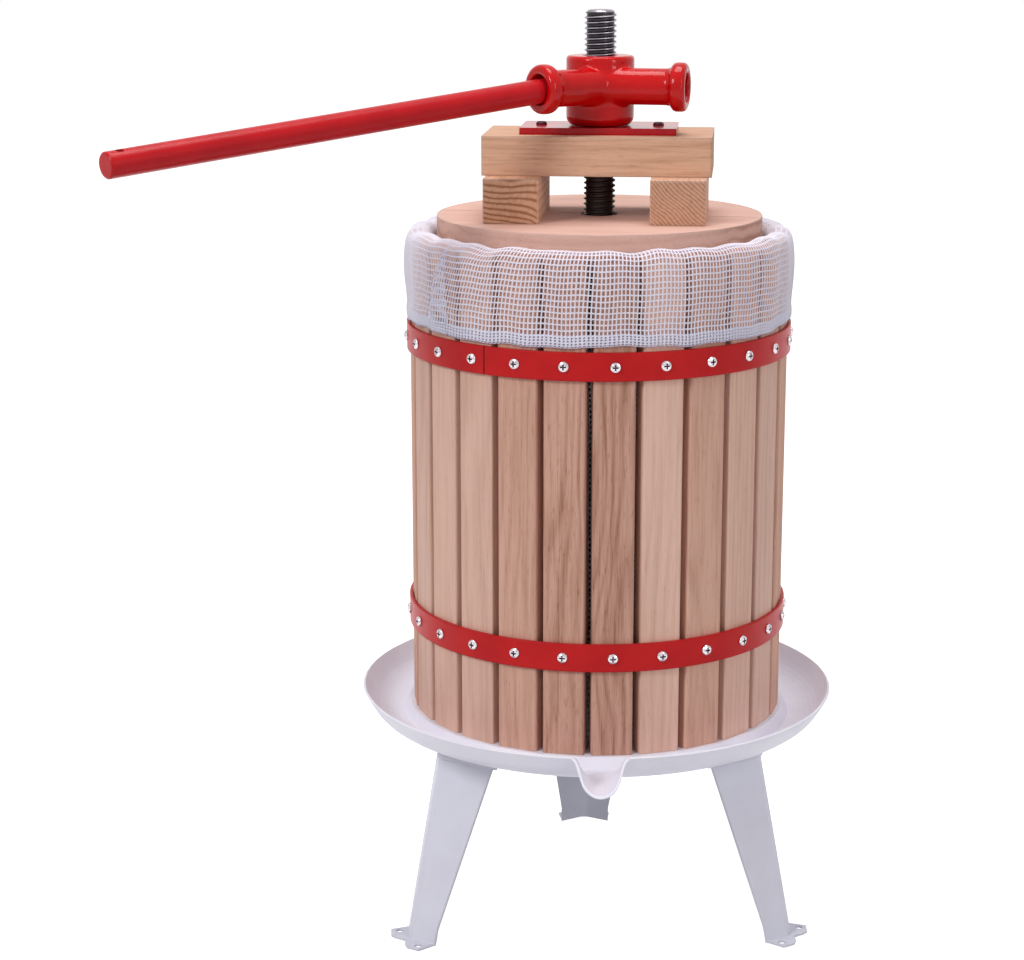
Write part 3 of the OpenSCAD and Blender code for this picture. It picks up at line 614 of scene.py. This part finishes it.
def cloth(u, s):
    """Points of the cloth in mm: u is the share of the way round, s the way along the outline."""
    r, z = np.interp(s, REACH, LINE[:, 0]), np.interp(s, REACH, LINE[:, 1])
    outer = (s < REACH[-1] * 0.2) & (r > OUTSIDE_R)
    cuff = np.where(outer, 1.0, 0.0) * np.clip((s - 6) / 8, 0, 1)
    # the pleat, narrow at the fold and wide at the hem, gathers the cloth near it
    lap = np.where(r > 136, np.interp(z, [482, 500, 540, 549], [LAP, 21.0, 7.0, 0.0]), 0.0)
    start = ((u + 0.5) % 1.0 - 0.5) * AROUND
    half = lap / 2
    far = np.abs(start) - half
    gathered = (LAP - lap) * np.exp(-np.maximum(far, 0) / 60.0)
    x = np.where(far < 0, -start, np.sign(start) * (np.abs(start) - LAP + gathered))
    # which of the pleat's three layers this is, from 0 to 2 outward, easing off beyond the pleat
    layer = np.where(start < -half, 0.0, 1.0 + start / np.maximum(lap, 1e-6))
    layer = np.where(start > half, 2.0 * np.exp(-(start - half) / 9.0), layer)
    layer = np.where(lap > 0.2, layer, 0.0)
    a = FOLD_AT + (x - half * bell(start, 0.0, 90.0)) / TURN_R
    wobble = 0.4 * np.sin(19 * a + z * 0.05) + 0.25 * np.sin(43 * a - z * 0.11)
    # the cuff puffs out, its fold is scalloped by the staves, and its hem waves
    puff = 0.55 * np.sin(7 * a + 0.6) + 0.45 * np.sin(12 * a + 2.1) + 0.35 * np.sin(25 * a + 0.9)
    r = r + cuff * bell(z, 524, 22) * puff + 0.95 * layer * np.clip((552 - z) / 30, 0, 1)
    top = bell(z, 551, 7)
    scallop = 0.9 * np.sin(25 * a + 0.5) + 0.7 * np.sin(16 * a + 1.9) + 0.5 * np.sin(9 * a + 4.0)
    z = z + np.where(r > 126.5, top, 0.0) * (0.75 * scallop - 0.5)
    hem = bell(z, 484, 12) * np.where(r > 140, 1.0, 0.0)
    wave = 0.8 * np.sin(5 * a + 1.0) + 0.6 * np.sin(11 * a + 0.2) + 0.25 * np.sin(23 * a)
    z = z + hem * wave
    z = z + np.where(r > 140, 0.35, 0.2) * np.sin(31 * a + z * 0.02)
    # the lining hangs in shallow folds below the reach of the pressing board
    hanging = np.clip((445 - z) / 40, 0, 1) * np.clip((z - 176) / 40, 0, 1)
    loose = np.where(r < LINING_R, hanging, 0.0)
    r = r - loose * (13.0 + 2.2 * np.sin(22 * a + 1.3) + 1.2 * np.sin(37 * a + z * 0.01))
    a = a + wobble / np.maximum(r, 20.0) * 0.6
    return np.stack([r * np.sin(a), -r * np.cos(a), z], -1)


def lifted(u, s, up):
    """The same points, moved out of the cloth by up mm."""
    p = cloth(u, s)
    across = cloth(u + 2e-4, s) - cloth(u - 2e-4, s)
    along = cloth(u, s + 0.15) - cloth(u, np.maximum(s - 0.15, 0.0))
    n = np.cross(across, along)
    return p + n / np.maximum(np.linalg.norm(n, axis=-1, keepdims=True), 1e-9) * up[..., None]


def strips(grid, closed):
    """Faces of a stack of strips: grid is threads x steps x across, in vertex numbers."""
    nxt = np.roll(grid, -1, axis=1) if closed else grid[:, 1:]
    now = grid if closed else grid[:, :-1]
    made = []
    for k in range(grid.shape[2] - 1):
        corners = [now[..., k], nxt[..., k], nxt[..., k + 1], now[..., k + 1]]
        made.append(np.stack(corners, -1).reshape(-1, 4))
    return np.concatenate(made)


class Threads:
    """Collects the strips of all threads. A section is RIDGED or FLAT, and a size as above."""

    def __init__(self):
        self.columns = int(round(AROUND / CELL_U))
        self.points, self.faces, self.total = [], [], 0

    def add(self, u, s, up, closed):
        p = lifted(u, s, up)
        grid = np.arange(p[..., 0].size).reshape(p.shape[:-1]) + self.total
        self.points.append(p.reshape(-1, 3))
        self.faces.append(strips(grid, closed))
        self.total += grid.size

    def down(self, path, section, size, offset=0.0):
        """Threads that run down the cloth, offset by a share of a cell."""
        (side, up), (width, height, level) = section, size
        places = (np.arange(self.columns) + offset) / self.columns
        u = places[:, None, None] + side[None, None, :] * width / AROUND
        s = np.broadcast_to(path[None, :, None], (self.columns, len(path), len(side)))
        lift = np.broadcast_to(up * height + level, s.shape)
        self.add(np.broadcast_to(u, s.shape), s, lift, closed=False)

    def round(self, rows, section, size, offset=0.5, step=1):
        """Threads that run round the cloth, with a point for every step cells."""
        (side, up), (width, height, level) = section, size
        count = self.columns // step
        places = ((np.arange(count) + offset) / count)[None, :, None]
        u = np.broadcast_to(places, (len(rows), count, len(side)))
        s = np.clip(rows[:, None, None] + side[None, None, :] * width, 0, REACH[-1])
        lift = np.broadcast_to(up * height + level, u.shape)
        self.add(u, np.broadcast_to(s, u.shape), lift, closed=True)


def net_mesh(threads):
    mesh = bpy.data.meshes.new("net_bag")
    points, faces = np.concatenate(threads.points) * MM, np.concatenate(threads.faces)
    mesh.vertices.add(len(points))
    mesh.vertices.foreach_set("co", points.astype(np.float32).ravel())
    mesh.loops.add(faces.size)
    mesh.loops.foreach_set("vertex_index", faces.astype(np.int32).ravel())
    mesh.polygons.add(len(faces))
    mesh.polygons.foreach_set("loop_start", np.arange(0, faces.size, 4, dtype=np.int32))
    mesh.update(calc_edges=True)
    mesh.validate()
    mesh.shade_smooth()
    return mesh


def make_net():
    rows = np.arange(FIRST_ROW, REACH[-1] - 0.5, CELL_S)
    inside = np.abs(LINE[:, 1] - LINING_FROM_Z) + 1000 * (LINE[:, 0] > LINING_R)
    lining_from = REACH[np.argmin(inside)]
    threads = Threads()
    fine = rows[rows <= lining_from + CELL_S]
    threads.down(np.arange(fine[0], fine[-1] + 0.01, CELL_S / 2), RIDGED, NET_DOWN)
    threads.round(fine, RIDGED, NET_ROUND)
    lining = rows[rows > lining_from]
    threads.down(lining[::LINING_STEP], FLAT, LINING_DOWN)
    threads.round(lining, FLAT, LINING_ROUND, step=LINING_STEP)
    # the hem has a closer set of threads between the others
    threads.down(np.arange(FIRST_ROW, HEM_END, 2.0), RIDGED, HEM_DOWN, offset=0.24)
    between = np.arange(FIRST_ROW + CELL_S / 2, HEM_END, CELL_S / 2)
    threads.round(between, RIDGED, HEM_ROUND, offset=0.25)
    piece = link(bpy.data.objects.new("net_bag", net_mesh(threads)))
    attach(piece, "basket")
    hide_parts("straining_bag")
    piece.data.materials.append(net_thread("white_net"))


# ---------------------------------------------------------------- light and floor
LAMP_AIM = (0, 0, 0.4)
# Name, place, width, height and watts
LAMPS = (
    ("key", (-1.9, -2.0, 2.2), 0.8, 0.8, 42),
    ("fill", (1.9, -1.9, 1.4), 0.6, 1.4, 16),
    ("top", (0.05, 0.1, 2.6), 1.1, 1.1, 29),
)
WORLD_LIGHT = 0.34      # on the object; where the world is seen it is white
FLOOR_HALF = 9.0
FLOOR_DROP = 0.0004     # so that the feet don't share a plane with it


def lamp(name, at, width, height, watts):
    data = bpy.data.lights.new(name, "AREA")
    data.shape, data.size, data.size_y = "RECTANGLE", width, height
    data.energy = watts
    o = link(bpy.data.objects.new(name, data))
    o.location = at
    o.rotation_mode = "QUATERNION"
    o.rotation_quaternion = (Vector(LAMP_AIM) - Vector(at)).to_track_quat("-Z", "Y")


def make_floor():
    mesh = bpy.data.meshes.new("floor")
    e = FLOOR_HALF
    mesh.from_pydata([(-e, -e, 0), (e, -e, 0), (e, e, 0), (-e, e, 0)], [], [(0, 1, 2, 3)])
    floor = link(bpy.data.objects.new("floor", mesh))
    floor.location.z = -FLOOR_DROP
    floor.data.materials.append(floor_white("floor_white"))


def make_world():
    global TREE
    world = bpy.data.worlds.new("world")
    bpy.context.scene.world = world
    world.use_nodes = True
    TREE = world.node_tree
    TREE.nodes.clear()
    seen = seen_share()
    strength = plus(WORLD_LIGHT, times(seen, 1.0 - WORLD_LIGHT))
    back = node("Background", {0: WHITE, 1: strength})
    TREE.links.new(back, TREE.nodes.new("ShaderNodeOutputWorld").inputs[0])


make_camera()
dress_wood()
dress_metal()
make_casting()
make_spindle()
make_net()
for row in LAMPS:
    lamp(*row)
make_floor()
make_world()
bpy.context.scene.view_settings.view_transform = "Standard"
